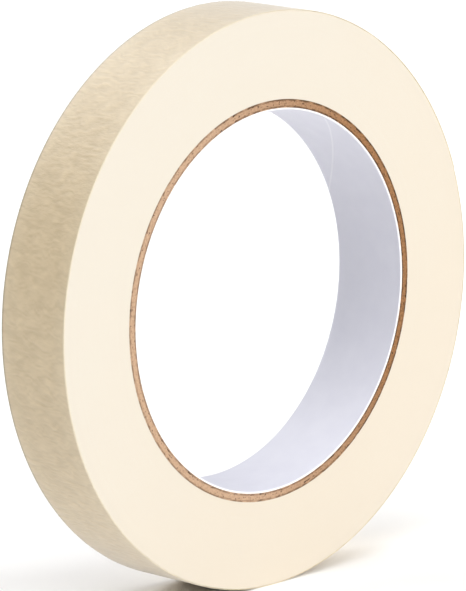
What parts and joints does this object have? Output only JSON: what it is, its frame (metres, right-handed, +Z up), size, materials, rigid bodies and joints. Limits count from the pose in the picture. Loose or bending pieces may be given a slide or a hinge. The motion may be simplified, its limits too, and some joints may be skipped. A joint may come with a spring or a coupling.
{
  "type": "masking tape roll",
  "caption": "Round roll of beige crepe-paper masking tape on a brown paper core with a white liner; the free end lifts.",
  "frame": {"origin": "centre of the core's bore, midway between the two flat faces", "axes": "+Y along the bore axis, from the front face to the back face; +Z up, so the roll stands on its rim; +X to the right seen from the front (-Y)"},
  "size_m": [0.1158, 0.017, 0.1159],
  "materials": {
    "liner_paper": "smooth calendered",
    "core_board": "matte fibrous",
    "tape_web": "matte slit edges",
    "crepe_paper": "creped, satin",
    "adhesive": "tacky, satin"
  },
  "bodies": {
    "roll": {"core_liner": "liner_paper", "core_board_ply_1": "core_board", "core_board_ply_2": "core_board", "core_board_ply_3": "core_board", "core_board_ply_4": "core_board", "wound_tape": "tape_web", "last_turn_backing": "crepe_paper", "last_turn_adhesive": "adhesive"},
    "free_end": {"free_end_backing": "crepe_paper", "free_end_adhesive": "adhesive"}
  },
  "joints": [
    {"name": "free_end_peel", "type": "hinge", "parent": "roll", "child": "free_end", "pos_m": [0.03247, 0, 0.0481], "axis": [0, -1, 0], "range_deg": [0, 90]}
  ]
}
